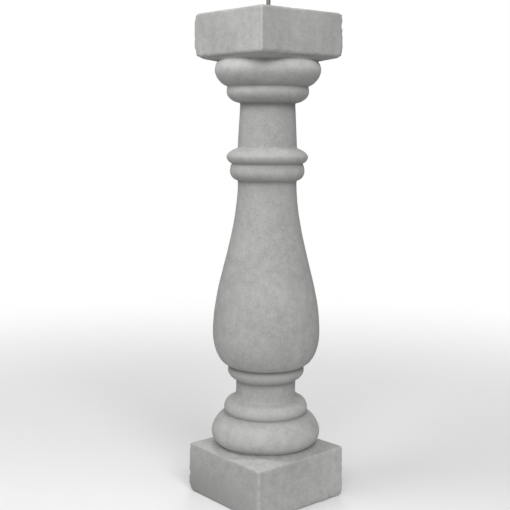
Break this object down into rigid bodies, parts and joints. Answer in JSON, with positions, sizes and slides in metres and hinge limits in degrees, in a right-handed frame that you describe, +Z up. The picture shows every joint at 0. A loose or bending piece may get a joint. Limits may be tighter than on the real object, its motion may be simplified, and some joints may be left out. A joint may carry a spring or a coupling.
{
  "type": "stone baluster",
  "caption": "Turned baluster with a low full belly and ring mouldings between a square plinth and a square top block, cast in one piece, with a steel bar standing out of the top.",
  "frame": {"origin": "centre of the plinth's underside", "axes": "+Z up the axis of the shaft, X and Y square to the faces of the plinth"},
  "size_m": [0.1646, 0.1646, 0.75],
  "materials": {
    "cast_stone": "matte grey cast concrete with a fine sandy skin and worn edges",
    "raw_steel": "dull dark mill finish with cement smears and light rust"
  },
  "bodies": {
    "root": {"baluster": "cast_stone", "reinforcing_rod": "raw_steel"}
  },
  "joints": []
}
